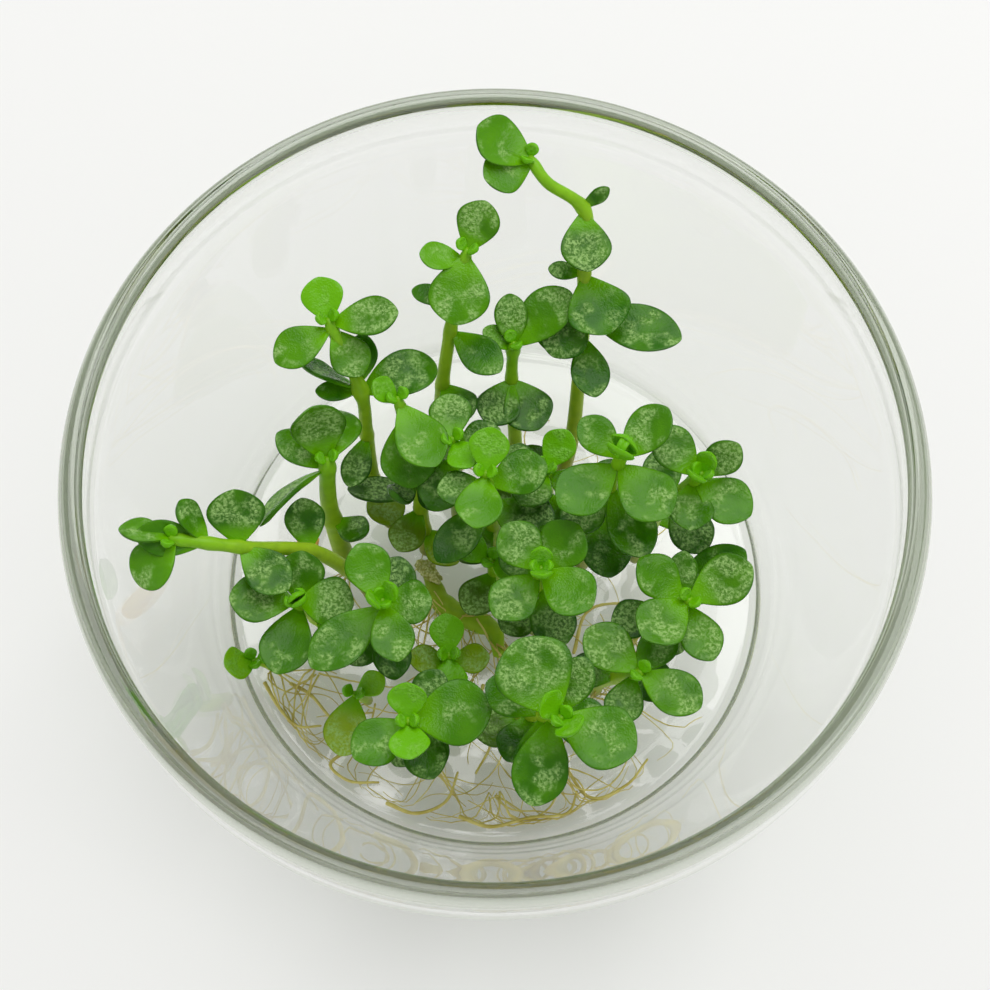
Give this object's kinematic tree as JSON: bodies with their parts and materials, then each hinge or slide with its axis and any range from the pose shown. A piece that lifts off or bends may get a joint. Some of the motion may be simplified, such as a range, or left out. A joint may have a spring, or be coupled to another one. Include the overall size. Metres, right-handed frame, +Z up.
{
  "type": "tissue culture water hyssop in a glass bowl",
  "caption": "Clump of young water hyssop shoots with fleshy round leaves and fine roots, standing in a small clear glass bowl with a rounded rim and a foot ring.",
  "frame": {"origin": "centre of the bowl's foot ring, on the plane that it rests on", "axes": "+Z up along the bowl's axis, -Y towards the side that the picture was taken from"},
  "size_m": [0.105, 0.105, 0.0527],
  "materials": {
    "glass": "clear, faintly grey-green, polished",
    "shoot": "glossy fleshy leaf, stands in for plant tissue",
    "stem": "satin lime stem, stands in for plant tissue",
    "root": "thin tan root, stands in for plant tissue",
    "shed_leaf": "yellowed leaf, stands in for plant tissue"
  },
  "bodies": {
    "root": {"glass_bowl": "glass", "leaf_shed": "shed_leaf", "root_front_arc": "root", "root_front_left": "root", "root_front_long": "root", "root_front_right": "root", "root_left_arc": "root", "root_left_hooked": "root", "root_middle": "root", "root_right": "root", "seedling_front_left": "shoot", "seedling_left": "shoot", "shoot_back_arching": "shoot", "shoot_back_forked": "shoot", "shoot_back_left": "shoot", "shoot_back_middle": "shoot", "shoot_back_small": "shoot", "shoot_centre": "shoot", "shoot_centre_back": "shoot", "shoot_centre_cross": "shoot", "shoot_centre_front_left": "shoot", "shoot_centre_left": "shoot", "shoot_centre_low": "shoot", "shoot_front_left": "shoot", "shoot_front_right": "shoot", "shoot_front_small": "shoot", "shoot_front_tall": "shoot", "shoot_left_cupped": "shoot", "shoot_left_low": "shoot", "shoot_left_lying": "shoot", "shoot_right": "shoot", "shoot_right_budded": "shoot", "shoot_right_front": "shoot", "stem_creeping": "stem"}
  },
  "joints": []
}
